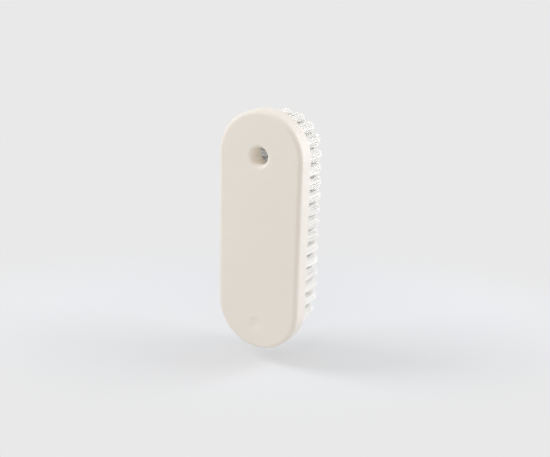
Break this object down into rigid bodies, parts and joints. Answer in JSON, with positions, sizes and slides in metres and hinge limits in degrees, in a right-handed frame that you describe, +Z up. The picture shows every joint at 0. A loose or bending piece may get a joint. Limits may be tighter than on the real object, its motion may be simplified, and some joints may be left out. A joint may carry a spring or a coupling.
{
  "type": "nail brush",
  "caption": "Hand-held nail brush: oblong plastic block with rounded ends, a hanging hole near one end, and rows of stapled filament tufts on one face.",
  "frame": {"origin": "on the hanging hole's axis, half-way through the block's thickness", "axes": "+X across the block, +Y from the back face towards the bristle tips, +Z up along the block, towards the end with the hanging hole, as the brush hangs"},
  "size_m": [0.043, 0.0254, 0.115],
  "materials": {
    "block": "satin injection-moulded polypropylene",
    "filament": "drawn PBT monofilament, trimmed ends",
    "anchor_wire": "rolled flat stainless wire, cut ends"
  },
  "bodies": {
    "root": {"anchor_lower_inner_fan": "anchor_wire", "anchor_lower_outer_fan": "anchor_wire", "anchor_row_01": "anchor_wire", "anchor_row_02": "anchor_wire", "anchor_row_03": "anchor_wire", "anchor_row_04": "anchor_wire", "anchor_row_05": "anchor_wire", "anchor_row_06": "anchor_wire", "anchor_row_07": "anchor_wire", "anchor_row_08": "anchor_wire", "anchor_row_09": "anchor_wire", "anchor_row_10": "anchor_wire", "anchor_row_11": "anchor_wire", "anchor_row_12": "anchor_wire", "anchor_upper_inner_fan": "anchor_wire", "anchor_upper_outer_fan": "anchor_wire", "block": "block", "tuft_lower_inner_fan": "filament", "tuft_lower_outer_fan": "filament", "tuft_row_01": "filament", "tuft_row_02": "filament", "tuft_row_03": "filament", "tuft_row_04": "filament", "tuft_row_05": "filament", "tuft_row_06": "filament", "tuft_row_07": "filament", "tuft_row_08": "filament", "tuft_row_09": "filament", "tuft_row_10": "filament", "tuft_row_11": "filament", "tuft_row_12": "filament", "tuft_upper_inner_fan": "filament", "tuft_upper_outer_fan": "filament"}
  },
  "joints": []
}
